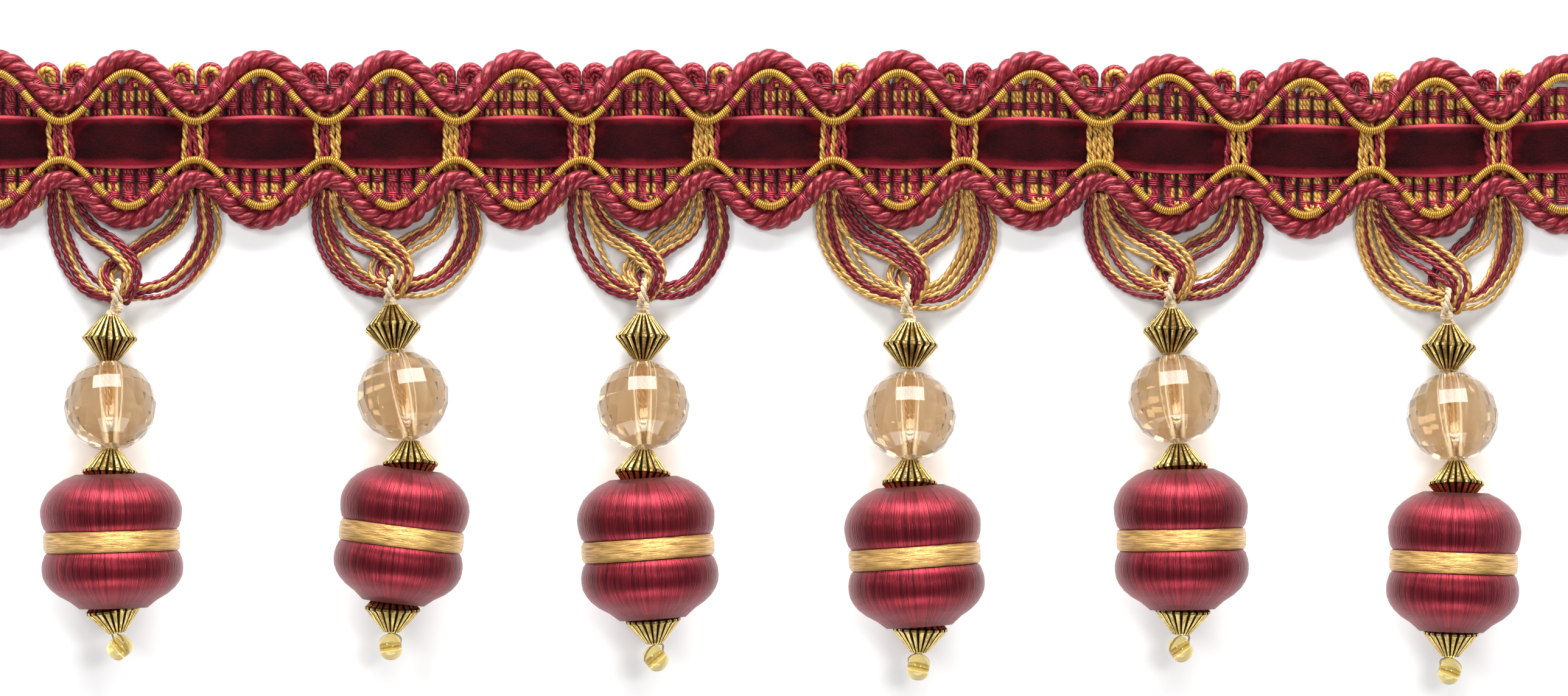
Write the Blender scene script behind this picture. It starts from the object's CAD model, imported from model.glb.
# %% [markdown]
# # A beaded fringe trim, dressed
# The trim is a woven heading with a velvet ribbon and cords in waves, and six strings of beads
# hang from loops of its yarns. Its solids come packed in millimetre detail as a fixed frame.
# The looks could be painted on those solids, but yarn is read by its plies and its shine, so
# every soft piece is made again here in its own place, and the beads get their cuts and flutes.

import math

import bpy
import numpy as np
from mathutils import Matrix, Vector


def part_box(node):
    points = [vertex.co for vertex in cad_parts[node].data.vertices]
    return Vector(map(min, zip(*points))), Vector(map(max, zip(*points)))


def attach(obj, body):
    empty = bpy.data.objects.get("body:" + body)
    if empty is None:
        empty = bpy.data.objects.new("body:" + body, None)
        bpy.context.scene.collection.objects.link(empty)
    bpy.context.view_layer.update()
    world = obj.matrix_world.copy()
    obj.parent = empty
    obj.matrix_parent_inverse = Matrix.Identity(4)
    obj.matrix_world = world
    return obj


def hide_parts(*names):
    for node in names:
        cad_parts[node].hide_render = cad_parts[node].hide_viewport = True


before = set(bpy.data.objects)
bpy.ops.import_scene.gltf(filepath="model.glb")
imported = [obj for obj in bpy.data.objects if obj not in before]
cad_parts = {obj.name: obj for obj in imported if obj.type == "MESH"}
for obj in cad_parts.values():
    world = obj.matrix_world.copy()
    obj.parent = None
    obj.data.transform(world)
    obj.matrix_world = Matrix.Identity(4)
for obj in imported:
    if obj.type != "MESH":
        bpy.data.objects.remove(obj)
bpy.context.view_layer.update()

MM = 0.001
PICTURE_MM = 304.6
PICTURE_MIDDLE_Y = -40.03

# %% [markdown]
# The photograph looks straight down on the trim, with hardly any perspective. A camera high
# above with a long lens gives the same view, and keeps the drops upright at both ends.

# %% Camera
CAMERA_HEIGHT = 2.4
camera_data = bpy.data.cameras.new("camera")
camera_data.sensor_width = 36
camera_data.lens = 36 * (CAMERA_HEIGHT - 4 * MM) / (PICTURE_MM * MM)
camera = bpy.data.objects.new("camera", camera_data)
camera.location = (0, PICTURE_MIDDLE_Y * MM, CAMERA_HEIGHT)
bpy.context.collection.objects.link(camera)
bpy.context.scene.camera = camera
print("lens", round(camera_data.lens, 1), "mm")

# %% [markdown]
# Shader sums are easier to read as sums. A small class wraps a socket, so that adding or
# multiplying two values adds a Math node, and every other node comes from one method.


# %% Shader sums
def rgb(red, green, blue):
    """A colour of the screen, 0 to 255, as the shader's own linear one."""
    channels = [c / 255 for c in (red, green, blue)]
    return tuple(c / 12.92 if c < 0.04 else ((c + 0.055) / 1.055) ** 2.4 for c in channels) + (1,)


class Value:
    """A number that changes over a surface."""

    def __init__(self, finish, socket):
        self.finish, self.socket = finish, socket

    def math(self, operation, *values):
        return self.finish.node("ShaderNodeMath", {"operation": operation}, values)

    def __add__(self, other):
        return self.math("ADD", self, other)

    def __sub__(self, other):
        return self.math("SUBTRACT", self, other)

    def __rsub__(self, other):
        return self.math("SUBTRACT", other, self)

    def __mul__(self, other):
        return self.math("MULTIPLY", self, other)

    def __truediv__(self, other):
        return self.math("DIVIDE", self, other)

    def __pow__(self, other):
        return self.math("POWER", self, other)

    __radd__, __rmul__ = __add__, __mul__

    def sine(self):
        return self.math("SINE", self)

    def size(self):
        return self.math("ABSOLUTE", self)

    def smooth(self, low, high):
        """0 below low, 1 above high, and a soft step between."""
        return self.finish.node(
            "ShaderNodeMapRange", {"interpolation_type": "SMOOTHSTEP"}, {0: self, 1: low, 2: high})


class Finish:
    """A material, its main shader and its nodes."""

    def __init__(self, name, **settings):
        self.material = bpy.data.materials.new(name)
        self.material.use_nodes = True
        self.tree = self.material.node_tree
        self.shader = self.tree.nodes["Principled BSDF"]
        for socket, value in settings.items():
            self.shader.inputs[socket.replace("_", " ")].default_value = value

    def node(self, kind, settings, inputs, output=0):
        node = self.tree.nodes.new(kind)
        for name, value in settings.items():
            setattr(node, name, value)
        pairs = inputs.items() if isinstance(inputs, dict) else enumerate(inputs)
        for place, value in pairs:
            if isinstance(value, Value):
                self.tree.links.new(value.socket, node.inputs[place])
            else:
                node.inputs[place].default_value = value
        return Value(self, node.outputs[output])

    def attribute(self, name, output="Vector"):
        return self.node("ShaderNodeAttribute", {"attribute_name": name}, {}, output)

    def parts(self, vector):
        split = self.node("ShaderNodeSeparateXYZ", {}, [vector])
        return [Value(self, socket) for socket in split.socket.node.outputs]

    def vector(self, x, y, z):
        return self.node("ShaderNodeCombineXYZ", {}, [x, y, z])

    def noise(self, vector, scale, detail=2):
        return self.node("ShaderNodeTexNoise", {}, {
            "Vector": vector, "Scale": scale, "Detail": detail})

    def mix(self, share, first, second):
        return self.node("ShaderNodeMix", {"data_type": "RGBA"}, {0: share, 6: first, 7: second}, 2)

    def place(self):
        return self.node("ShaderNodeTexCoord", {}, {}, "Object")

    def colour(self, value):
        self.tree.links.new(value.socket, self.shader.inputs["Base Color"])

    def rough(self, value):
        self.tree.links.new(value.socket, self.shader.inputs["Roughness"])

    def relief(self, height, depth_mm):
        bump = self.node("ShaderNodeBump", {}, {
            "Strength": 1, "Distance": depth_mm * MM, "Height": height})
        self.tree.links.new(bump.socket, self.shader.inputs["Normal"])


print("shader helpers ready")

# %% [markdown]
# All of the trim is rayon: a smooth, bright yarn whose gloss takes the yarn's own colour, so
# its shader is partly metallic. Two plies wound round each other leave a slanting groove every
# millimetre or so. The plies of the loops are real tubes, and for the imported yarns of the
# heading the groove is worked out from the yarn's own length and turn, which each tube carries.


# %% Yarn finishes
BURGUNDY = (rgb(60, 5, 14), rgb(162, 41, 55))
GOLD = (rgb(112, 68, 18), rgb(226, 176, 88))
BRIGHT_GOLD = (rgb(88, 50, 10), rgb(198, 146, 50))


def yarn(name, shades, plies, pitch, fibres=9, gloss=0.36, metal=0.45, depth=0.1):
    """Rayon with plies (0 for a single ply) that wind round once in each pitch of mm."""
    finish = Finish(name, Roughness=gloss, Metallic=metal, Sheen_Weight=0.08, Sheen_Roughness=0.4)
    along, around, _ = finish.parts(finish.attribute("run"))
    slant = around * fibres + along * (fibres / pitch)
    strand = finish.noise(finish.vector(along * 0.9, slant, 0), 1, 3)
    lump = finish.noise(finish.place(), 420, 1)
    shade = strand * 0.7 + lump * 0.3
    height = strand * 0.3
    if plies:
        groove = ((around * plies + along * (plies / pitch)) * math.pi).sine().size() ** 0.6
        height = height + groove
        shade = shade * 0.6 + groove * 0.45 - 0.05
    finish.colour(finish.mix(shade.smooth(0.15, 0.85), *shades))
    finish.relief(height, depth)
    return finish.material


loop_burgundy = yarn("loop_burgundy", (rgb(50, 4, 12), rgb(150, 36, 50)), 0, 2.6)
loop_gold = yarn("loop_gold", (rgb(112, 66, 20), rgb(232, 184, 104)), 0, 2.6)
rib_burgundy = yarn("rib_burgundy", BURGUNDY, 2, 2.4)
rib_gold = yarn("rib_gold", GOLD, 2, 2.4)
cord_burgundy = yarn("cord_burgundy", BURGUNDY, 0, 9, fibres=12, gloss=0.34, depth=0.2)
yarns = (loop_burgundy, loop_gold, rib_burgundy, rib_gold, cord_burgundy)
print("yarn finishes", [material.name for material in yarns])

# %% [markdown]
# Where yarn is wound round and round, on the thin gold cord, at the bindings and on the
# barrels' waists, the grooves between the turns run straight across.


# %% Wound finishes
def wound(name, shades, turn_mm, depth=0.1, gloss=0.34, metal=0.5):
    """Thread laid in close turns of that many mm round a core."""
    finish = Finish(name, Roughness=gloss, Metallic=metal, Sheen_Weight=0.06)
    along, around, _ = finish.parts(finish.attribute("run"))
    wander = finish.noise(finish.vector(along * 0.8, around * 3, 0), 1, 2)
    turn = ((along / turn_mm + around + wander * 0.7) * math.pi).sine().size() ** 0.7
    lump = finish.noise(finish.place(), 260, 2)
    finish.colour(finish.mix((turn * 0.6 + lump * 0.55).smooth(0.1, 0.95), *shades))
    finish.relief(turn, depth)
    return finish.material


gimp_gold = wound("gimp_gold", BRIGHT_GOLD, 0.42, 0.14)
binding = wound("binding_thread", (rgb(60, 6, 16), rgb(148, 34, 52)), 0.46, 0.18)
print("wound finishes ready")

# %% [markdown]
# A yarn is a tube along a line. It could be a curve with a bevel, but then the finish would not
# know how far along the yarn it is. So the tubes are laid ring by ring here, and each corner
# keeps its run: millimetres along, and share of the way round.


# %% Tubes along lines
def through(points, per_span=14):
    """A smooth line through points."""
    points = np.asarray(points, float)
    ends = np.vstack([2 * points[0] - points[1], points, 2 * points[-1] - points[-2]])
    t = np.linspace(0, 1, per_span, endpoint=False)[:, None]
    spans = [
        0.5 * (2 * b + (c - a) * t + (2 * a - 5 * b + 4 * c - d) * t**2
               + (3 * b - a - 3 * c + d) * t**3)
        for a, b, c, d in zip(ends, ends[1:], ends[2:], ends[3:])]
    return np.vstack(spans + [points[-1:]])


def lengths(line):
    return np.r_[0, np.cumsum(np.linalg.norm(np.diff(line, axis=0), axis=1))]


def even(line, step):
    """The same line with its points step mm apart."""
    far = lengths(line)
    at = np.linspace(0, far[-1], max(2, round(far[-1] / step)) + 1)
    return np.column_stack([np.interp(at, far, line[:, k]) for k in range(3)])


def cross_ways(line, up, closed=False):
    """Two directions across a line at each of its points."""
    ahead = np.roll(line, -1, 0) - np.roll(line, 1, 0) if closed else np.gradient(line, axis=0)
    ahead /= np.linalg.norm(ahead, axis=1, keepdims=True)
    side = np.cross(up, ahead)
    side /= np.linalg.norm(side, axis=1, keepdims=True)
    return side, np.cross(ahead, side)


def ply_lines(line, plies, pitch, off, up=(0, 0, 1), start=0.0):
    """The lines of plies wound round a line. Pitch and off, in mm, may change along it."""
    side, rise = cross_ways(line, up)
    pitch = np.broadcast_to(pitch, len(line))
    turn = start - 2 * math.pi * np.r_[0, np.cumsum(np.diff(lengths(line)) / pitch[1:])]
    off = np.broadcast_to(off, len(line))[:, None]
    return [
        line + off * (np.cos(turn + k)[:, None] * side + np.sin(turn + k)[:, None] * rise)
        for k in np.arange(plies) * 2 * math.pi / plies]


class Tubes:
    """Gathers tubes, and makes one piece of them."""

    def __init__(self):
        self.points, self.faces, self.runs, self.slots, self.count = [], [], [], [], 0

    def add(self, line, radius, slot=0, sides=6, up=(0, 0, 1), closed=False, flat=1.0):
        line = np.asarray(line, float)
        side, rise = cross_ways(line, up, closed)
        angle = np.arange(sides) * 2 * math.pi / sides
        radius = np.broadcast_to(radius, len(line))[:, None, None]
        cos, sin = np.cos(angle)[:, None], np.sin(angle)[:, None]
        ring = side[:, None] * cos + rise[:, None] * sin * flat
        self.points.append((line[:, None] + radius * ring).reshape(-1, 3))
        rings = len(line)
        spans = rings if closed else rings - 1
        i, j = np.meshgrid(np.arange(spans), np.arange(sides), indexing="ij")
        i, j = i.ravel(), j.ravel()
        ahead, aside = (i + 1) % rings, (j + 1) % sides
        here, there = i * sides, ahead * sides
        quads = np.stack([here + j, here + aside, there + aside, there + j], 1)
        far = lengths(line)
        far = np.r_[far, far[-1] + np.linalg.norm(line[-1] - line[0])]
        near, beyond, turn, next_turn = far[i], far[i + 1], j / sides, (j + 1) / sides
        corners = [near, turn, near, next_turn, beyond, next_turn, beyond, turn]
        self.runs.append(np.stack(corners, 1))
        self.faces.extend((quads + self.count).tolist())
        self.slots.extend([slot] * len(quads))
        if not closed:
            for cap in (np.arange(sides)[::-1], (rings - 1) * sides + np.arange(sides)):
                self.faces.append((cap + self.count).tolist())
                self.runs.append(np.tile([far[0], 0.0], sides)[None])
                self.slots.append(slot)
        self.count += rings * sides

    def make(self, name, materials):
        mesh = bpy.data.meshes.new(name)
        mesh.from_pydata(np.vstack(self.points) * MM, [], self.faces)
        flat_runs = np.concatenate([run.reshape(-1, 2) for run in self.runs])
        mesh.attributes.new("run", "FLOAT2", "CORNER").data.foreach_set("vector", flat_runs.ravel())
        mesh.polygons.foreach_set("material_index", self.slots)
        mesh.polygons.foreach_set("use_smooth", [True] * len(self.faces))
        for material in materials:
            mesh.materials.append(material)
        piece = bpy.data.objects.new(name, mesh)
        bpy.context.collection.objects.link(piece)
        return piece


def hand_over(piece, slot, *nodes):
    """Puts a finished piece in the place of its nodes."""
    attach(piece, "root")
    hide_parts(*nodes)
    boxes = np.array([[list(corner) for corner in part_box(node)] for node in nodes])
    spots = np.array([v.co for v in piece.data.vertices])
    apart = np.r_[boxes[:, 0].min(0) - spots.min(0), spots.max(0) - boxes[:, 1].max(0)].max() / MM
    faces = sum(len(p.vertices) - 2 for p in piece.data.polygons)
    print(piece.name, faces, "triangles, at most", round(float(apart), 2), "mm past the solid")


print("tube helpers ready")

# %% [markdown]
# Everything in the heading follows one wave: a row of valleys, an inch apart but never quite
# even, because the trim is soft. The heading also sags a little towards one end.

# %% The wave
LENGTH = 310
HALF = LENGTH / 2
VALLEYS = np.array([
    -166, -140.6, -114.4, -88.7, -63.7, -39.4, -15.1, 9.6, 35.1, 61.4, 88.3, 114.2, 138.8, 164])
RIBS_PER_WAVE = 9
SAG, SAG_AT, SAG_REACH = 1.85, 112, 45
LAST_X = HALF - 0.01
along_heading = np.linspace(-HALF, LAST_X, 2600)


def sway(x):
    """How far the heading has sagged at x."""
    return -SAG * np.exp(-(((np.asarray(x, float) - SAG_AT) / SAG_REACH) ** 2))


def crest(x):
    """-1 in a valley and 1 on a crest."""
    i = np.clip(np.searchsorted(VALLEYS, x, side="right") - 1, 0, len(VALLEYS) - 2)
    return -np.cos(2 * math.pi * (x - VALLEYS[i]) / (VALLEYS[i + 1] - VALLEYS[i]))


inner_valleys = [v for v in VALLEYS if abs(v) < HALF]
print("waves", len(inner_valleys))

# %% [markdown]
# The ground is woven from bunches of three yarns, gold and burgundy as they came, that stand
# side by side as ribs. A fine thread binds each rib in four rows and pinches it there. At the
# edges the yarns turn and run back as the next rib, and beside every top valley they stand up
# in two small arches. A flat web at the back holds the ribs together.

# %% Ribs, arches and turns
BINDING_ROWS = (10.76, 7.21, -7.17, -10.4)
PINCH, PINCH_REACH, END_MARGIN = 0.2, 0.75, 1.3
RIB_FOOT, RIB_HEAD, RIB_HEIGHT = 4.6, 11.6, 1.2
ARCH_HEAD, CROWN_HEAD, EDGE_HEAD = 12.7, 10.7, 10.35
ARCH_FROM, ARCH_SWELL = 12, 0.14
YARN_RADIUS, YARN_APART, YARN_STEP = 0.52, 0.68, 0.8
MIDDLE_LIFT, TURN_LIFT, TURN_APART, TURN_OUT = 0.1, 0.5, 0.8, 0.1
YARN_POINT_STEP = 0.75
GOLD_SHARE, ARCH_GOLD_SHARE = 0.48, 0.34
BURGUNDY_SLOT, GOLD_SLOT, BINDING_SLOT = 0, 1, 2
chance = np.random.default_rng(7)


def pinch(y):
    """How wide a rib is at y, against its full width."""
    return 1 - PINCH * sum(np.exp(-(((y - row) / PINCH_REACH) ** 2)) for row in BINDING_ROWS)


def rib_lines(x, far_x, head, turn_at):
    """Lines up one rib, round the turn and down the next. turn_at is 1 at the top edge."""
    lines = []
    reach = abs(far_x - x) / 2
    for n in (-1, 0, 1):
        ys = np.arange(RIB_FOOT, head, YARN_STEP) * turn_at
        widen = n * YARN_APART * pinch(ys)
        z = RIB_HEIGHT + MIDDLE_LIFT * (n == 0)
        up_line = np.column_stack([x + widen, ys, np.full(len(ys), z)])
        down_line = np.column_stack([far_x - widen, ys, np.full(len(ys), z)])[::-1]
        angles = np.linspace(math.pi, 0, 9)[1:-1]
        wide = reach - n * TURN_APART
        turn = np.column_stack([
            (x + far_x) / 2 + np.sign(far_x - x) * wide * np.cos(angles),
            turn_at * (head + (wide + TURN_OUT) * np.sin(angles)),
            np.full(len(angles), z + TURN_LIFT * (n == 0))])
        line = np.vstack([up_line, turn, down_line])
        line[:, 1] += sway(line[:, 0])
        lines.append(line)
    return lines


ground = Tubes()
rib_spots = [
    (a + (b - a) * (k + 0.5) / RIBS_PER_WAVE, k)
    for a, b in zip(VALLEYS, VALLEYS[1:]) for k in range(RIBS_PER_WAVE)]
rib_spots = [(x, k) for x, k in rib_spots if abs(x) < HALF - END_MARGIN]
arched, crowned, turned_below = (0, 7), (2, 4), (0, 2, 4, 6)
turned = set()
for (x, k), (next_x, next_k) in zip(rib_spots, rib_spots[1:]):
    if k in arched and next_k == k + 1:
        top = rib_lines(x, next_x, ARCH_HEAD, 1)
    elif k in crowned:
        top = rib_lines(x, next_x, CROWN_HEAD, 1)
    else:
        top = []
    bottom = rib_lines(x, next_x, EDGE_HEAD, -1) if k in turned_below else []
    for side, lines in ((1, top), (-1, bottom)):
        if lines:
            turned |= {(x, side), (next_x, side)}
    for line in top + bottom:
        line = even(line, YARN_POINT_STEP)
        radius = YARN_RADIUS + ARCH_SWELL * (line[:, 1] > ARCH_FROM)
        gold = ARCH_GOLD_SHARE if k in arched and line[0, 1] > 0 else GOLD_SHARE
        ground.add(line, radius, GOLD_SLOT if chance.random() < gold else BURGUNDY_SLOT, sides=6)
for x, _ in rib_spots:
    for n in (-1, 0, 1):
        for side in (1, -1):
            if (x, side) not in turned:
                ys = np.arange(RIB_FOOT, RIB_HEAD, YARN_STEP) * side
                xs = x + n * YARN_APART * pinch(ys)
                line = np.column_stack([xs, ys + sway(x), np.full(len(ys), RIB_HEIGHT)])
                slot = GOLD_SLOT if chance.random() < GOLD_SHARE else BURGUNDY_SLOT
                ground.add(line, YARN_RADIUS, slot, sides=6)
print("ribs", len(rib_spots), "points", ground.count)

# %% [markdown]
# Each binding is a few turns of thread round a rib: a short, flattened sleeve whose finish
# shows the turns.

# %% Bindings of the ribs
SLEEVE_PLACES = (-0.78, -0.62, 0, 0.62, 0.78)
SLEEVE_RADII = (0.95, 1.2, 1.27, 1.2, 0.95)
SLEEVE_LIFT, SLEEVE_FLAT, SLEEVE_ASTRAY = 0.06, 0.6, 0.12
for x, _ in rib_spots:
    for row in BINDING_ROWS:
        y = row + sway(x) + chance.uniform(-SLEEVE_ASTRAY, SLEEVE_ASTRAY)
        line = [(x, y + dy, RIB_HEIGHT + SLEEVE_LIFT) for dy in SLEEVE_PLACES]
        ground.add(line, SLEEVE_RADII, BINDING_SLOT, sides=12, flat=SLEEVE_FLAT)
print("bindings", len(rib_spots) * len(BINDING_ROWS))

# %% [markdown]
# At every valley a flat bunch of yarns leaves the ground, crosses over the ribbon and goes
# back in, which is what holds the ribbon. Some bunches are nearly all gold.

# %% Bridges over the ribbon
BRIDGE_YARNS = (
    "gbbgb", "gbbgb", "gbbgg", "gggbb", "bgbbg", "ggggb",
    "gbgbb", "gbbbg", "ggggg", "bgggb", "gggbg", "bgbgb")
BRIDGE_APART, BRIDGE_LEAN, BRIDGE_CLOSER = 1.02, 0.3, 0.1
BRIDGE_PITCH, BRIDGE_PLY, BRIDGE_PLY_OFF = 5.2, 0.4, 0.28
for number, valley in enumerate(inner_valleys):
    colours = BRIDGE_YARNS[number % len(BRIDGE_YARNS)]
    for n, colour in enumerate(colours):
        x = valley + (n - (len(colours) - 1) / 2) * BRIDGE_APART
        lean = chance.uniform(-BRIDGE_LEAN, BRIDGE_LEAN)
        close = BRIDGE_CLOSER * (n - 2)
        line = [
            (x - 2 * close, -6.6, 0.9), (x - close, -5.2, 3.3), (x + lean, -2, 3.55),
            (x - lean, 2, 3.55), (x - close, 5.2, 3.3), (x - 2 * close, 6.6, 0.9)]
        line = even(through(line), 0.5)
        line[:, 1] += sway(valley)
        for ply in ply_lines(line, 2, BRIDGE_PITCH, BRIDGE_PLY_OFF, start=n):
            ground.add(ply, BRIDGE_PLY, GOLD_SLOT if colour == "g" else BURGUNDY_SLOT, sides=5)
print("bridges", len(inner_valleys), "points", ground.count)

# %% [markdown]
# The web behind the ribs is plain, dark and flat on the table. It is a grid, bent to the sway
# of the heading, with its thickness from Solidify.

# %% The web
WEB_LENGTH, WEB_WIDTH, WEB_MIDDLE, WEB_THICK = LENGTH - 0.6, 21.6, 0.4, 0.75
bpy.ops.object.select_all(action="DESELECT")
bpy.ops.mesh.primitive_grid_add(x_subdivisions=124, y_subdivisions=8, size=1)
web = bpy.context.object
for vertex in web.data.vertices:
    x, y = vertex.co.x * WEB_LENGTH, vertex.co.y * WEB_WIDTH + WEB_MIDDLE
    vertex.co = Vector((x, y + float(sway(x)), 0)) * MM
thick = web.modifiers.new("thickness", "SOLIDIFY")
thick.thickness, thick.offset = WEB_THICK * MM, 1
bpy.ops.object.modifier_apply(modifier="thickness")

web_finish = Finish("ground_web", Roughness=0.75, Sheen_Weight=0.3)
x, y, _ = web_finish.parts(web_finish.place())
lift = (x * 2200).sine() * 0.5 + (y * 5200).sine() * 0.3 + 0.5
tone = web_finish.noise(web_finish.place(), 160, 2)
shade = (lift * 0.4 + tone * 0.6).smooth(0.2, 0.9)
web_finish.colour(web_finish.mix(shade, rgb(44, 8, 14), rgb(96, 24, 36)))
web_finish.relief(lift, 0.15)
web.data.materials.append(web_finish.material)

ground_yarns = ground.make("woven_yarns", [rib_burgundy, rib_gold, binding])
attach(web, "root")
web.name = "woven_web"
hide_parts("woven_ground")
hand_over(ground_yarns, "ground_yarn", "woven_ground")

# %% [markdown]
# Velvet is a pile that stands up from its backing. Looked into from above it is nearly black,
# and where it leans or ends at the ribbon's edges it shows its red. The ribbon is one laid
# sheet, drawn in where the bridges hold it, with a crown between them.


# %% Velvet ribbon
RIBBON_WIDTH, RIBBON_PINCHED, RIBBON_LOW, PILE = 10.0, 9.3, 2.05, 0.6
CROWN_HELD, CROWN_LOOSE = 0.1, 0.3
bpy.ops.object.select_all(action="DESELECT")
bpy.ops.mesh.primitive_grid_add(x_subdivisions=310, y_subdivisions=14, size=1)
ribbon = bpy.context.object
ribbon.name = "velvet"
marks = ribbon.data.attributes.new("across", "FLOAT_VECTOR", "POINT")
for vertex in ribbon.data.vertices:
    x, share = vertex.co.x * LENGTH, vertex.co.y * 2
    loose = float(1 + crest(min(max(x, -HALF), LAST_X))) / 2
    half = (RIBBON_PINCHED + (RIBBON_WIDTH - RIBBON_PINCHED) * loose) / 2
    crown = CROWN_LOOSE * loose ** 0.5 + CROWN_HELD
    crown = crown * (1 - share ** 2) ** 0.5 if abs(share) < 1 else 0
    vertex.co = Vector((x, share * half + float(sway(x)), RIBBON_LOW + crown)) * MM
    marks.data[vertex.index].vector = (x, share, loose)
thick = ribbon.modifiers.new("pile", "SOLIDIFY")
thick.thickness, thick.offset = PILE * MM, 1
bpy.ops.object.modifier_apply(modifier="pile")
bpy.ops.object.shade_smooth()

velvet = Finish("velvet_pile", Roughness=0.85, Sheen_Weight=0.14, Sheen_Roughness=0.3,
                Sheen_Tint=rgb(200, 40, 60), Specular_IOR_Level=0.08)
along, across, loose = velvet.parts(velvet.attribute("across"))
cloud = velvet.noise(velvet.vector(along * 0.16, across * 1.2, 0), 1, 3)
nap = velvet.noise(velvet.place(), 2600, 2)
rim = (across.size() + (nap - 0.5) * 0.03).smooth(0.86, 0.95)
edge = (across.size() - across * 0.05 + (cloud - 0.5) * 0.35).smooth(0.6, 0.98)
held = ((1 - loose) * 1.1 + across * 0.25 + (cloud - 0.5) * 1.6).smooth(0.7, 1.4)
lit = velvet.mix((cloud * 0.6 + nap * 0.5).smooth(0.3, 0.85), rgb(22, 1, 3), rgb(50, 3, 8))
lit = velvet.mix(held * 0.5, lit, rgb(118, 16, 30))
lit = velvet.mix(edge * 0.7, lit, rgb(136, 24, 40))
velvet.colour(velvet.mix(rim * 0.8, lit, rgb(200, 78, 92)))
velvet.relief(nap, 0.12)
ribbon.data.materials.append(velvet.material)
hand_over(ribbon, "velvet", "velvet_ribbon")

# %% [markdown]
# The two plump cords are three plies laid together. Each ply is a tube that winds round the
# cord's own line, so the ridges, their shadows and the knobbly outline are real. Bindings pull
# the cord in on each slope. In the valleys, where it is gathered, its twist is tighter and it
# goes in and out in small lumps.


# %% Twisted cords
CORD_PITCH, VALLEY_TIGHTER, CORD_STEP = 8.4, 2.6, 0.36
# Radius of a ply and how far off the middle it winds, as shares of the cord's size
PLY_SHARE, PLY_OFF_SHARE = 0.55, 0.48
PLY_LUMPS_APART, PLY_LUMP = 2.1, 0.09
CORD_SLEEVE = (1.5, 1.68, 1.7, 1.68, 1.5)
CORD_SIZE, CREST_SWELL, BOUND_IN = 1.95, 0.32, 0.2
KNOB, KNOB_DEPTH = 2.3, 0.42
BROAD_CREST = 0.12
BOUND_AT, BOUND_REACH, BOUND_LEVEL = 10.76, 0.9, 0.92
# Side, middle, swing, height and how far the crests sink
CORDS = {
    "twisted_cord_top": (1, 12.1, 4.2, 3.15, 1.05),
    "twisted_cord_bottom": (-1, 11.45, 3.9, 3.45, 1.35),
}


def lumps(far, apart, size):
    """Places along a yarn, and how full it is at each of them."""
    places = np.arange(0, far + apart, apart)
    return places, 1 + chance.uniform(-size, size, len(places))


for name, (side, middle, swing, high, sink) in CORDS.items():
    c = crest(along_heading)
    wave = c - BROAD_CREST * (2 * c * c - 1)
    ys = side * (middle + swing * wave) + sway(along_heading)
    line = even(np.column_stack([along_heading, ys, high - sink * c]), CORD_STEP)
    c = crest(np.clip(line[:, 0], -HALF, LAST_X))
    tight = np.exp(-(((np.abs(line[:, 1] - sway(line[:, 0])) - BOUND_AT) / BOUND_REACH) ** 2))
    valley = np.maximum(-c, 0)
    far = lengths(line)
    knobs = np.sin(math.pi * far / KNOB) ** 2 * valley
    size = CORD_SIZE + CREST_SWELL * np.maximum(c, 0) ** 2 - BOUND_IN * tight - KNOB_DEPTH * knobs
    cord = Tubes()
    pitch = CORD_PITCH - VALLEY_TIGHTER * valley
    for ply in ply_lines(line, 3, pitch, size * PLY_OFF_SHARE):
        uneven = np.interp(far, *lumps(far[-1], PLY_LUMPS_APART, PLY_LUMP))
        cord.add(ply, size * PLY_SHARE * uneven, 0, sides=10)
    crossings = np.nonzero(np.diff(np.sign(tight - BOUND_LEVEL)) > 0)[0]
    for at in crossings:
        sleeve = line[max(at - 1, 0):at + 4]
        cord.add(sleeve, CORD_SLEEVE[:len(sleeve)], 1, sides=12)
    piece = cord.make(name + "_plies", [cord_burgundy, binding])
    hand_over(piece, "twisted_rayon", name)

# %% [markdown]
# The thin gold cord is a gimp: floss wound round a core until it is smooth and stiff. The
# binding thread crosses it twice on every slope. It is one tube, with a short sleeve at each
# of those places.

# %% Gimp cords
GIMPS = {"gimp_cord_top": (1, 8.7, 4.75), "gimp_cord_bottom": (-1, 8.02, 4.5)}
GIMP_RADIUS, GIMP_LOW, GIMP_LIFT = 0.74, 4.56, 0.46
GIMP_STEP, GIMP_BOUND_AT = 0.45, (10.7, 7.2)
GIMP_SLEEVE = (0.76, 0.9, 0.92, 0.9, 0.76)
for name, (side, middle, swing) in GIMPS.items():
    c = crest(along_heading)
    rise = GIMP_LOW + GIMP_LIFT * ((1 - c) / 2) ** 2
    ys = side * (middle + swing * c) + sway(along_heading)
    line = even(np.column_stack([along_heading, ys, rise]), GIMP_STEP)
    gimp = Tubes()
    gimp.add(line, GIMP_RADIUS, 0, sides=12)
    off = np.abs(line[:, 1] - sway(line[:, 0]))
    for row in GIMP_BOUND_AT:
        for at in np.nonzero(np.diff(np.sign(off - row)))[0]:
            sleeve = line[max(at - 1, 0):at + 4]
            gimp.add(sleeve, GIMP_SLEEVE[:len(sleeve)], 1, sides=12)
    piece = gimp.make(name + "_wound", [gimp_gold, binding])
    hand_over(piece, "gold_gimp", name)

# %% [markdown]
# The six drops repeat, but each lies in its own way. One table holds how: its valleys, where
# its first bead starts, the leans of its beads and the size of its barrel. From it the beads
# are placed one after another down the string.


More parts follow.
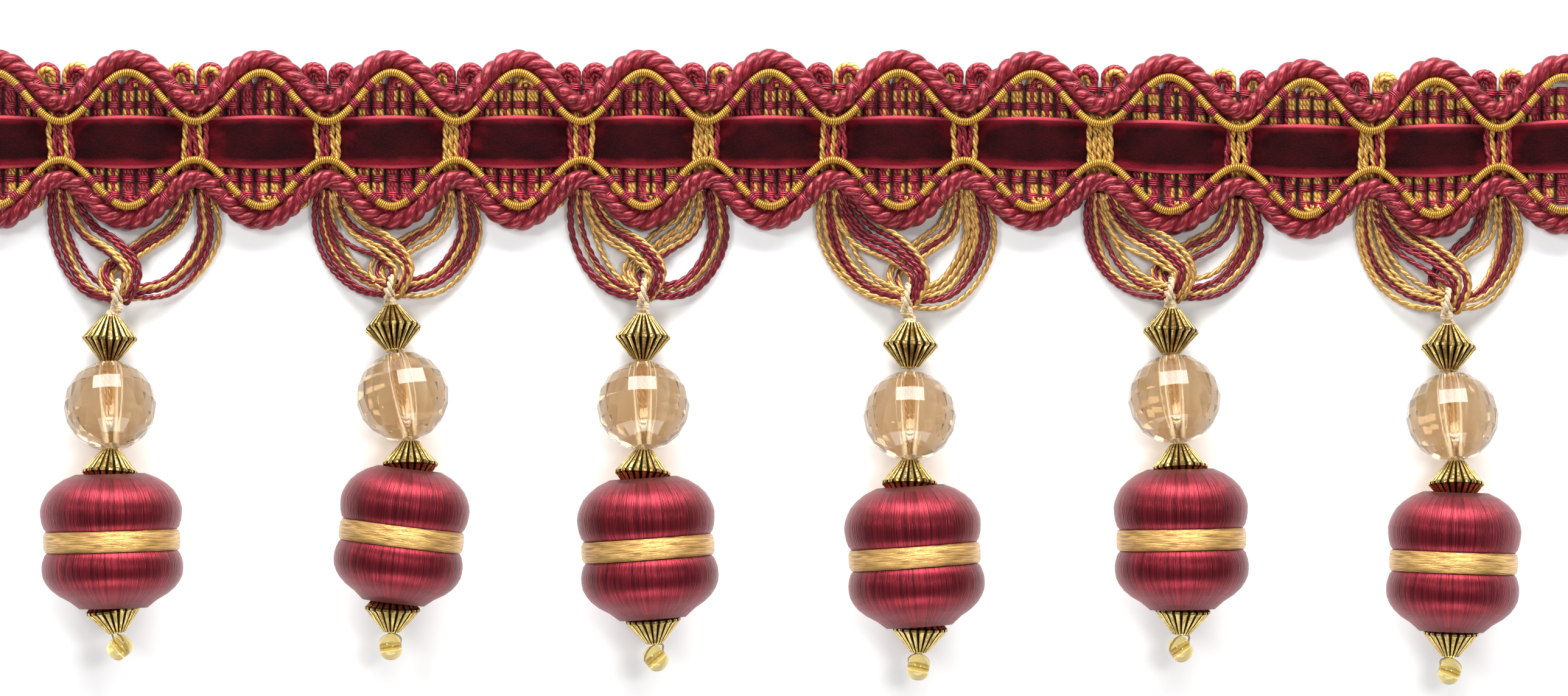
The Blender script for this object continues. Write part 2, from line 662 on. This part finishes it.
# %% How the drops lie
DROPS = [
    dict(left=1, right=2, x=-130.75, y=-33.75, gather=(1.15, 4.25), knot=1.1,
         leans=(2, -3, 2, -1.5, -9), slack=(0.95, 0.8), seats=(0.3, 0.3),
         barrel=28, height=26, tip=-50),
    dict(left=3, right=4, x=-76.2, y=-31.95, gather=(-0.4, 3.4), knot=0.7,
         leans=(-4, -11, 0, 7, 3), slack=(0.9, 0.75), seats=(0.9, 1.2),
         barrel=25.6, height=26.1, tip=8),
    dict(left=5, right=6, x=-27.35, y=-33.6, gather=(-0.05, 4.25), knot=1.1,
         leans=(1, -1.5, 3, -4, -4), slack=(1, 0.7), seats=(1, 0.3),
         barrel=27.2, height=27.3, tip=40),
    dict(left=7, right=8, x=24.7, y=-35.05, gather=(-0.9, 4.8), knot=1.1,
         leans=(2, 0, 1, -4, 2), slack=(1.5, 0.7), seats=(0.6, 0.5),
         barrel=27, height=27.2, tip=-12),
    dict(left=9, right=10, x=75.25, y=-32.5, gather=(-0.3, 3.4), knot=0.7,
         leans=(2, -5, -3, -1, 3), slack=(0.7, 0.9), seats=(0.3, 0.3),
         barrel=26.5, height=27.2, tip=35),
    dict(left=11, right=12, x=129.1, y=-35.65, gather=(-0.4, 4.5), knot=1.1,
         leans=(1, -4, 0, 2, 2), slack=(1, 0.6), seats=(1.6, 0.3),
         barrel=26.3, height=27, tip=-20),
]
BICONE_HALF, BEAD_HALF, TIP_RADIUS, TIP_GAP = 4.5, 8.4, 2.6, 0.3
GATHER_HEIGHT, UPPER_HEIGHT, BEAD_HEIGHT = 4.4, 5.5, 9.2
MIDDLE_DROP, LOWER_DROP = 0.3, 0.2
MIDDLE_CLIMB, LOWER_CLIMB = math.radians(8), math.radians(-4)
CORNER = math.cos(math.pi / 12)


def way_down(lean, climb):
    """The way down the string for a lean in degrees and a climb in radians."""
    lean = math.radians(lean)
    flat = math.cos(climb)
    return Vector((-math.sin(lean) * flat, -math.cos(lean) * flat, math.sin(climb)))


def lay_out(drop):
    """Where each bead lies: its middle, lean and climb, and the ends of its hole."""
    axis = drop["barrel"] / (1 + CORNER) * CORNER
    bead_end = axis - MIDDLE_DROP - (BICONE_HALF + drop["slack"][1]) * math.sin(MIDDLE_CLIMB)
    bead_climb = math.asin((bead_end - BEAD_HEIGHT) / BEAD_HALF)
    upper_end = BEAD_HEIGHT - BEAD_HALF * math.sin(bead_climb)
    upper_climb = math.asin((upper_end - UPPER_HEIGHT) / (BICONE_HALF + drop["slack"][0]))
    leans = drop["leans"]

    def link(start, gap, half, lean, climb):
        way = way_down(lean, climb)
        first = start + way * gap
        middle, last = first + way * half, first + way * 2 * half
        return dict(first=first, middle=middle, last=last, lean=lean, climb=climb)

    start = Vector((drop["x"], drop["y"], UPPER_HEIGHT - BICONE_HALF * math.sin(upper_climb)))
    upper = link(start, 0, BICONE_HALF, leans[0], upper_climb)
    bead = link(upper["last"], drop["slack"][0], BEAD_HALF, leans[1], bead_climb)
    middle = link(bead["last"], drop["slack"][1], BICONE_HALF, leans[2], MIDDLE_CLIMB)
    places = {"bicone_upper": upper, "round_bead": bead, "bicone_middle": middle}
    mouth = middle["middle"].copy()
    mouth.z = axis
    places["barrel"] = link(mouth, drop["seats"][0], drop["height"] / 2, leans[3], 0)
    lower = places["barrel"]["last"] + way_down(leans[3], 0) * drop["seats"][1]
    lower.z -= LOWER_DROP
    way = way_down(leans[4], LOWER_CLIMB)
    places["bicone_lower"] = link(lower - way * BICONE_HALF, 0, BICONE_HALF, leans[4], LOWER_CLIMB)
    tip = places["bicone_lower"]["last"] + way * (TIP_RADIUS + TIP_GAP)
    places["tip_bead"] = dict(middle=tip, lean=-90 - drop["tip"], climb=0)
    beside, above = drop["gather"]
    places["gather"] = Vector((drop["x"] + beside, drop["y"] + above, GATHER_HEIGHT))
    return places


def stand_at(place):
    """The move of a shape turned about Z to its place on the string, its top to the heading."""
    lean = Matrix.Rotation(-math.radians(place["lean"]), 4, "Z")
    climb = Matrix.Rotation(-place["climb"], 4, "X")
    upright = Matrix.Rotation(-math.pi / 2, 4, "X")
    return Matrix.Translation(place["middle"] * MM) @ (lean @ climb) @ upright


layouts = [lay_out(drop) for drop in DROPS]
for number, places in enumerate(layouts, 1):
    low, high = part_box(f"drop_{number}_round_bead")
    off = (low + high) / 2 / MM - places["round_bead"]["middle"]
    print("drop", number, "bead off by", round(off.length, 2), "mm")

# %% [markdown]
# Four bundles of yarn hang in loops from each pair of valleys and meet in the middle. Every
# yarn is two real plies. The yarns of a bundle start close together under the cord, bow apart
# half way down and close again past the middle, where they are tied. A route's row gives share
# of the way across, mm further across, share of the way down and height. The letters give the
# yarns from left to right.

# %% Fringe loops
ROUTES = [
    ("left", [
        (0, -0.6, -0.25, 2.5), (0, -0.9, 0, 1.7), (0, -0.1, 0.33, 0.9), (0.1, 1.2, 0.66, 0.9),
        (0.5, 0.2, 0.9, 1.9), (1, -1.2, 1, 4), (1, 1.2, 1.01, 4)]),
    ("left", [
        (0, 1.8, -0.25, 2.5), (0, 2.6, 0, 1.8), (0.2, 3.3, 0.27, 1.4), (0.57, 4.1, 0.47, 3.4),
        (0.92, 3.5, 0.72, 4.6), (1, 1.6, 0.97, 4.5), (1, 0.5, 1.08, 3.4)]),
    ("right", [
        (0, -1.4, -0.25, 2.5), (0, -2, 0, 1.7), (0.3, -0.3, 0.24, 1), (0.65, -0.6, 0.43, 1.1),
        (1, -2, 0.72, 2.3), (1, -1, 0.96, 3.8), (1, -0.2, 1.08, 3.2)]),
    ("right", [
        (0, 1.5, -0.25, 2.5), (0, 2.2, 0, 1.7), (0, 2.5, 0.3, 0.9), (0.15, 2.1, 0.64, 0.9),
        (0.5, 1.9, 0.92, 1.8), (1, 1.2, 1, 4), (1, -1.2, 1.01, 4)]),
]
LOOP_YARNS = [
    ("bbgb", "bggbb", "gbbg", "bgbbg"),
    ("bbgbg", "bggbgg", "gbgg", "bgbbg"),
    ("bbgbg", "ggbbg", "ggggb", "bbgbb"),
    ("ggbbgg", "gbbbbg", "ggbg", "ggggbbg"),
    ("bbgbgg", "ggbbgg", "gbgb", "gbbgb"),
    ("ggbggg", "bbbgbg", "bbgg", "gbbgg"),
]
ROOT_Y = -13.05
LOOP_PLY, LOOP_PLY_OFF, LOOP_LOWEST, LOOP_STEP = 0.375, 0.2, 0.36, 0.32
LOOP_LIFT, LOOP_OVER, LOOP_ASTRAY = 0.1, 0.3, 0.55
# How far apart the yarns lie at their ends, and how much more where they bow
APART_AT_ENDS, BOW = 0.5, 0.66
for number, (drop, places) in enumerate(zip(DROPS, layouts), 1):
    gather = places["gather"]
    loops = Tubes()
    for (side, route), colours in zip(ROUTES, LOOP_YARNS[number - 1]):
        root = VALLEYS[drop[side]]
        root_y = ROOT_Y + float(sway(root))
        middle = through([
            (root + share * (gather.x - root) + dx, root_y + down * (gather.y - root_y), z)
            for share, dx, down, z in route])
        middle = even(middle, LOOP_STEP)
        across, _ = cross_ways(middle, (0, 0, 1))
        share = np.linspace(0, 1, len(middle))
        bow = APART_AT_ENDS + BOW * np.sin(math.pi * share ** 0.85) ** 0.8
        for n, colour in enumerate(colours):
            lane = n - (len(colours) - 1) / 2
            lane = lane if middle[-1, 1] < middle[0, 1] and across[0, 0] > 0 else -lane
            astray = chance.uniform(-LOOP_ASTRAY, LOOP_ASTRAY)
            wander = astray * np.sin(share * math.pi * chance.uniform(1, 2.6))
            line = middle + across * (lane * chance.uniform(0.72, 1.02) * bow + wander)[:, None]
            line[:, 2] += LOOP_OVER * (n % 2) * np.sin(math.pi * share) + LOOP_LIFT
            pitch, start = chance.uniform(3.2, 4.4), chance.uniform(0, 6)
            for ply in ply_lines(line, 2, pitch, LOOP_PLY_OFF, start=start):
                ply[:, 2] = np.maximum(ply[:, 2], LOOP_LOWEST)
                loops.add(ply, LOOP_PLY, int(colour == "g"), sides=6)
    piece = loops.make(f"drop_{number}_loops", [loop_burgundy, loop_gold])
    hand_over(piece, "loop_yarn", f"drop_{number}_fringe_loops")

# %% [markdown]
# A soft ecru string is looped round the gathered yarns, knotted, and threaded through all the
# beads. It is two-ply cotton: dull and a little hairy, so its finish has no gloss.

# %% String
cotton = Finish("ecru_cotton", Roughness=0.9, Sheen_Weight=0.5, Sheen_Roughness=0.6)
along, around, _ = cotton.parts(cotton.attribute("run"))
fuzz = cotton.noise(cotton.vector(along * 2.2, around * 6 + along * 2.5, 0), 1, 4)
cotton.colour(cotton.mix(fuzz.smooth(0.2, 0.8), rgb(160, 130, 92), rgb(230, 206, 164)))
cotton.relief(fuzz, 0.16)

THREADED = ("bicone_upper", "round_bead", "bicone_middle", "bicone_lower")
STRING_PLY, STRING_PLY_OFF, STRING_STEP = 0.38, 0.32, 0.4
RING_PLY, RING_LEAN, RING_LONG, RING_DEEP = 0.36, 0.35, 2.4, 2.0
KNOT_DOWN, KNOT_TURNS, KNOT_YARN = 2.7, 2.6, 0.52
# How far out of a tip bead's middle the string is, inside and just past its hole
EYE_IN, EYE_OUT, EYE_RADIUS = 1.5, 1.9, 0.2
for number, (drop, places) in enumerate(zip(DROPS, layouts), 1):
    gather = np.array(places["gather"])
    string = Tubes()
    angles = np.linspace(-math.pi / 2, 1.5 * math.pi, 64, endpoint=False)
    ring = np.column_stack([
        gather[0] + RING_LEAN * np.sin(angles), gather[1] + RING_LONG * np.sin(angles),
        gather[2] + RING_DEEP * np.cos(angles)])
    for ply in ply_lines(ring, 2, 2.6, STRING_PLY_OFF, up=(1, 0, 0)):
        string.add(ply, RING_PLY, 0, sides=6, up=(1, 0, 0))
    knot = gather - (0, KNOT_DOWN, 0)
    turns = np.linspace(0, 1, 70)
    swirl = 2 * math.pi * KNOT_TURNS * turns
    size = drop["knot"] * 0.7
    coil = np.column_stack([
        knot[0] + size * np.cos(swirl) * (0.75 + 0.25 * np.sin(math.pi * turns)),
        knot[1] + size * 1.5 * (turns - 0.5), knot[2] + size * np.sin(swirl)])
    string.add(coil, KNOT_YARN, 0, sides=8, up=(0, 1, 0.01))
    stops = [knot] + [np.array(places[part][end]) for part in THREADED for end in ("first", "last")]
    threaded = even(np.array(stops), STRING_STEP)
    side_by_side = even(np.array([gather, knot, stops[1]]), STRING_STEP)
    for line in (threaded - (0.3, 0, 0), side_by_side - (0.55, 0, 0), side_by_side + (0.55, 0, 0)):
        for ply in ply_lines(line, 2, 2.8, STRING_PLY_OFF):
            string.add(ply, STRING_PLY, 0, sides=6)
    tip = places["tip_bead"]
    hole = way_down(tip["lean"], 0)
    last, centre = places["bicone_lower"]["last"], tip["middle"]
    halfway = (last - centre) * 0.5
    eye = [
        last, centre + hole * EYE_OUT + halfway, centre + hole * EYE_IN, centre,
        centre - hole * EYE_IN, centre - hole * EYE_OUT + halfway, last]
    string.add(even(through(eye), 0.3), EYE_RADIUS, 0, sides=6)
    piece = string.make(f"drop_{number}_cotton", [cotton.material])
    hand_over(piece, "ecru_string", f"drop_{number}_string")

# %% [markdown]
# Beads and barrels are turned shapes. Each starts as a circle, and is drawn out ring by ring
# with extrude and resize, as a potter would raise it. The last ring meets the first and is
# merged with it, so the shape is closed and has a hole down its middle.


# %% Turning
def turn_up(name, profile, sides):
    """A closed shape about Z from (radius, height) pairs in mm that end where they start."""
    bpy.ops.object.select_all(action="DESELECT")
    (radius, height), *rest = profile
    bpy.ops.mesh.primitive_circle_add(
        vertices=sides, radius=radius * MM, location=(0, 0, height * MM))
    shape = bpy.context.object
    bpy.ops.object.transform_apply(location=True, rotation=False, scale=False)
    bpy.ops.object.mode_set(mode="EDIT")
    bpy.ops.mesh.select_all(action="SELECT")
    for next_radius, next_height in rest:
        bpy.ops.mesh.extrude_region_move(
            TRANSFORM_OT_translate={"value": (0, 0, (next_height - height) * MM)})
        grow = next_radius / radius
        bpy.ops.transform.resize(value=(grow, grow, 1), center_override=(0, 0, 0))
        radius, height = next_radius, next_height
    bpy.ops.mesh.select_all(action="SELECT")
    bpy.ops.mesh.remove_doubles(threshold=0.004 * MM)
    bpy.ops.mesh.normals_make_consistent(inside=False)
    bpy.ops.object.mode_set(mode="OBJECT")
    shape.name = name
    return shape


def shade_round(shape):
    """Shades every face of a shape smooth."""
    shape.data.polygons.foreach_set("use_smooth", [True] * len(shape.data.polygons))


def keep_shape(shape):
    """Keeps each point's place on the turned shape, for finishes that follow it."""
    marks = shape.data.attributes.new("turned", "FLOAT_VECTOR", "POINT")
    spots = np.array([v.co for v in shape.data.vertices], np.float32) / MM
    marks.data.foreach_set("vector", spots.ravel())


def set_down(shape, name, place, finish, slot):
    """A copy of a turned shape in its place on a string."""
    mesh = shape.data.copy()
    mesh.transform(stand_at(place))
    mesh.materials.clear()
    mesh.materials.append(finish)
    piece = bpy.data.objects.new(name.replace("drop", "dressed"), mesh)
    bpy.context.collection.objects.link(piece)
    hand_over(piece, slot, name)


print("turning helpers ready")

# %% [markdown]
# The small double cones are cast and plated in antique gold: about twenty flutes, bright on
# their ridges and nearly black in the grooves, with a worn, pitted skin. The flutes are made
# by drawing every fourth column of points in towards the hole, and its neighbours a little.

# %% Fluted double cone
FLUTES = 21
# Where the flutes start and end, and how deep they are there and on the narrow rim
FLUTED_FROM, FLUTED_TO, RIM_HALF = 1.75, 4.4, 0.3
FLUTE_DEPTH, RIM_FLUTE_DEPTH = 0.13, 0.05
cone = turn_up("double_cone", [
    (0.85, 4.45), (1.7, 4.5), (1.9, 4.25), (2.6, 3.4), (3.9, 1.9), (5.1, 0.5), (5.4, 0.22),
    (5.4, -0.22), (5.1, -0.5), (3.9, -1.9), (2.6, -3.4), (1.9, -4.25), (1.7, -4.5),
    (0.85, -4.45), (0.85, 4.45)], FLUTES * 4)
keep_shape(cone)
grooves = cone.data.attributes.new("groove", "FLOAT", "POINT")
for vertex in cone.data.vertices:
    column = round(math.atan2(vertex.co.y, vertex.co.x) / (2 * math.pi) * FLUTES * 4) % 4
    radius, height = vertex.co.xy.length / MM, abs(vertex.co.z) / MM
    on_cone = FLUTED_FROM < radius and height < FLUTED_TO
    depth = {0: 0, 1: 0.25, 2: 1, 3: 0.25}[column] * on_cone
    grooves.data[vertex.index].value = depth
    draw_in = 1 - depth * (FLUTE_DEPTH if height > RIM_HALF else RIM_FLUTE_DEPTH)
    vertex.co.x *= draw_in
    vertex.co.y *= draw_in

antique = Finish("antique_gold_flutes", Metallic=1.0, Roughness=0.32)
deep = antique.attribute("groove", "Fac")
pits = antique.noise(antique.place(), 1500, 3)
worn = antique.noise(antique.place(), 380, 3)
dark = (deep + (worn - 0.5) * 0.7).smooth(0.25, 0.6)
gold = antique.mix(worn.smooth(0.3, 0.75), rgb(150, 122, 64), rgb(232, 206, 134))
antique.colour(antique.mix(dark, gold, rgb(40, 34, 16)))
antique.rough(dark * 0.35 + pits * 0.3 + 0.14)
antique.relief(pits, 0.1)

for number, places in enumerate(layouts, 1):
    for part in ("bicone_upper", "bicone_middle", "bicone_lower"):
        set_down(cone, f"drop_{number}_{part}", places[part], antique.material, "antique_gold")
bpy.data.objects.remove(cone)

# %% [markdown]
# The big bead is moulded acrylic in pale champagne, cut all over in flat facets, with a hole
# down the middle that the clear body magnifies. A sphere of few sides shaded flat is just that,
# and a real hole with real thickness round it bends the light as the bead does.

# %% Facetted bead
FACETS = 20
rows = np.radians(np.linspace(79, -79, 9))
outside = [(9.0 * math.cos(a), 8.75 * math.sin(a)) for a in rows]
bead_profile = [(1.35, 8.4), *outside, (1.35, -8.4), (1.35, 8.4)]
bead = turn_up("facetted_bead", bead_profile, FACETS)
bead.data.polygons.foreach_set("use_smooth", [
    Vector(p.center.xy).length < 1.5 * MM and abs(p.normal.z) < 0.2 for p in bead.data.polygons])

clear = Finish("champagne_clear", Base_Color=rgb(230, 198, 152), Roughness=0.03, IOR=1.49,
               Transmission_Weight=0.95, Alpha=0.86)
for number, places in enumerate(layouts, 1):
    set_down(bead, f"drop_{number}_round_bead", places["round_bead"], clear.material, "peach_clear")
bpy.data.objects.remove(bead)

# %% [markdown]
# The barrel is a turned wood mould, hidden under rayon floss that is laid lengthwise from the
# mouth over the lobes. Floss lies in thousands of parallel threads, which spread every
# highlight sideways into a band. Fine lengthwise grooves in the finish do that by themselves.

# %% Wound barrel
# Share of the way down and share of the radius
LOBES = [
    (0.0, 0.49), (0.036, 0.66), (0.08, 0.79), (0.127, 0.886), (0.173, 0.94), (0.218, 0.98),
    (0.264, 1.0), (0.31, 0.996), (0.355, 0.983), (0.4, 0.955), (0.43, 0.905), (0.5, 0.88),
    (0.57, 0.905), (0.6, 0.955), (0.645, 0.985), (0.68, 0.997), (0.72, 0.996), (0.764, 0.983),
    (0.81, 0.94), (0.855, 0.873), (0.9, 0.768), (0.945, 0.616), (1.0, 0.48)]
FLOSS_SHARE, HOLE, RECESS, BARREL_SIDES = 0.983, 1.8, 5.4, 96
floss = Finish("laid_floss", Roughness=0.33, Metallic=0.8, Sheen_Weight=0.05, Sheen_Roughness=0.4)
x, y, z = floss.parts(floss.attribute("turned"))
radius = (x * x + y * y) ** 0.5 + 0.001
fine = floss.noise(floss.vector(x / radius * 80, y / radius * 80, z * 0.1), 1, 3)
coarse = floss.noise(floss.vector(x / radius * 30, y / radius * 30, z * 0.06), 1, 2)
shade = fine * 0.6 + coarse * 0.4
floss.colour(floss.mix(shade.smooth(0.25, 0.75), rgb(60, 7, 15), rgb(148, 38, 52)))
floss.relief(fine * 0.7 + coarse * 0.3, 0.2)

for number, (drop, places) in enumerate(zip(DROPS, layouts), 1):
    full, tall = drop["barrel"] / 2 * FLOSS_SHARE, drop["height"]
    outer = [(full * share, tall * (0.5 - t)) for t, share in LOBES]
    inner = [(HOLE, -tall / 2 + RECESS), (HOLE, tall / 2 - RECESS)]
    barrel = turn_up("wound_barrel", outer + inner + outer[:1], BARREL_SIDES)
    keep_shape(barrel)
    shade_round(barrel)
    set_down(barrel, f"drop_{number}_barrel", places["barrel"], floss.material, "burgundy_floss")
    bpy.data.objects.remove(barrel)

# %% [markdown]
# A band of gold floss is wound round the waist, where it fills the groove between the lobes.
# Its threads run round the barrel, cross each other at a slight slant and bulge in the middle.

# %% Waist band
band_floss = Finish("wound_gold_floss", Roughness=0.3, Metallic=0.55, Sheen_Weight=0.06)
x, y, z = band_floss.parts(band_floss.attribute("turned"))
radius = (x * x + y * y) ** 0.5 + 0.001
slant = x / radius * 0.35 + y / radius * 0.5
thin_threads = band_floss.vector(x / radius * 3.2, y / radius * 3.2, (z + slant) * 6)
fine = band_floss.noise(thin_threads, 1, 3)
wide_threads = band_floss.vector(x / radius * 2.5, y / radius * 2.5, (z - slant) * 1.4)
broad = band_floss.noise(wide_threads, 1, 2)
shade = (fine * 0.6 + broad * 0.4).smooth(0.25, 0.72)
band_floss.colour(band_floss.mix(shade, rgb(118, 76, 28), rgb(228, 184, 108)))
band_floss.relief(fine + broad, 0.28)

# Share of the barrel's radius and height
BAND = [
    (0.885, 2.15), (0.925, 1.95), (0.945, 1.3), (0.952, 0), (0.945, -1.3), (0.925, -1.95),
    (0.885, -2.15), (0.86, 0), (0.885, 2.15)]
for number, (drop, places) in enumerate(zip(DROPS, layouts), 1):
    profile = [(drop["barrel"] / 2 * share, z) for share, z in BAND]
    band = turn_up("waist_band", profile, BARREL_SIDES)
    keep_shape(band)
    shade_round(band)
    set_down(band, f"drop_{number}_waist_band", places["barrel"], band_floss.material, "gold_floss")
    bpy.data.objects.remove(band)

# %% [markdown]
# A small clear bead in pale amber stops the string. It hangs with its hole sideways, and the
# string that goes through it shows inside.

# %% Tip bead
round_skin = [(0.7, 1.7), (0.95, 2.1), (1.4, 2.08), (1.9, 1.72), (2.3, 1.2), (2.53, 0.6), (2.6, 0)]
skin = round_skin + [(r, -z) for r, z in reversed(round_skin[:-1])] + [round_skin[0]]
tip = turn_up("tip_bead", skin, 32)
shade_round(tip)
amber = Finish("amber_clear", Base_Color=rgb(246, 226, 146), Roughness=0.05, IOR=1.45,
               Transmission_Weight=0.85, Alpha=0.95)
for number, places in enumerate(layouts, 1):
    set_down(tip, f"drop_{number}_tip_bead", places["tip_bead"], amber.material, "clear_amber")
bpy.data.objects.remove(tip)

# %% [markdown]
# The trim lies on a plain pale table under soft light. One broad light stands beyond its top
# edge and a weaker one beyond the drops, so the floss shines above and below each lobe's
# middle and stays dark where it faces the camera, as in the photograph. Two small ones put
# glints on the beads. The plain display transform keeps white white.


# %% Table and light
bpy.ops.object.select_all(action="DESELECT")
bpy.ops.mesh.primitive_plane_add(size=6, location=(0, 0, -0.00005))
table = bpy.context.object
table.name = "table"
paper = Finish("pale_table", Roughness=0.9)
grain = paper.noise(paper.place(), 60, 2)
paper.colour(paper.mix(grain, rgb(246, 246, 246), rgb(252, 252, 252)))
table.data.materials.append(paper.material)


def soft_light(name, spot, aim, size, watts):
    data = bpy.data.lights.new(name, "AREA")
    data.shape, data.size, data.size_y, data.energy = "RECTANGLE", size[0], size[1], watts
    lamp = bpy.data.objects.new(name, data)
    lamp.location = spot
    lamp.rotation_euler = (Vector(aim) - Vector(spot)).to_track_quat("-Z", "Y").to_euler()
    bpy.context.collection.objects.link(lamp)


HEADING, DROPS_MIDDLE = (0, -0.03, 0), (0, -0.05, 0)
soft_light("light_top", (0.1, 1.1, 0.54), HEADING, size=(1.5, 0.6), watts=46)
soft_light("light_foot", (0.0, -1.15, 0.6), DROPS_MIDDLE, size=(1.5, 0.5), watts=13)
soft_light("light_left", (-0.75, 0.45, 1.1), DROPS_MIDDLE, size=(0.3, 0.3), watts=5)
soft_light("light_right", (0.45, 0.1, 1.3), DROPS_MIDDLE, size=(0.22, 0.3), watts=4)
world = bpy.data.worlds.new("room")
world.use_nodes = True
background = world.node_tree.nodes["Background"]
background.inputs["Color"].default_value = (0.95, 0.97, 1.0, 1)
background.inputs["Strength"].default_value = 0.22
bpy.context.scene.world = world
bpy.context.scene.view_settings.view_transform = "Standard"
print("lights ready")
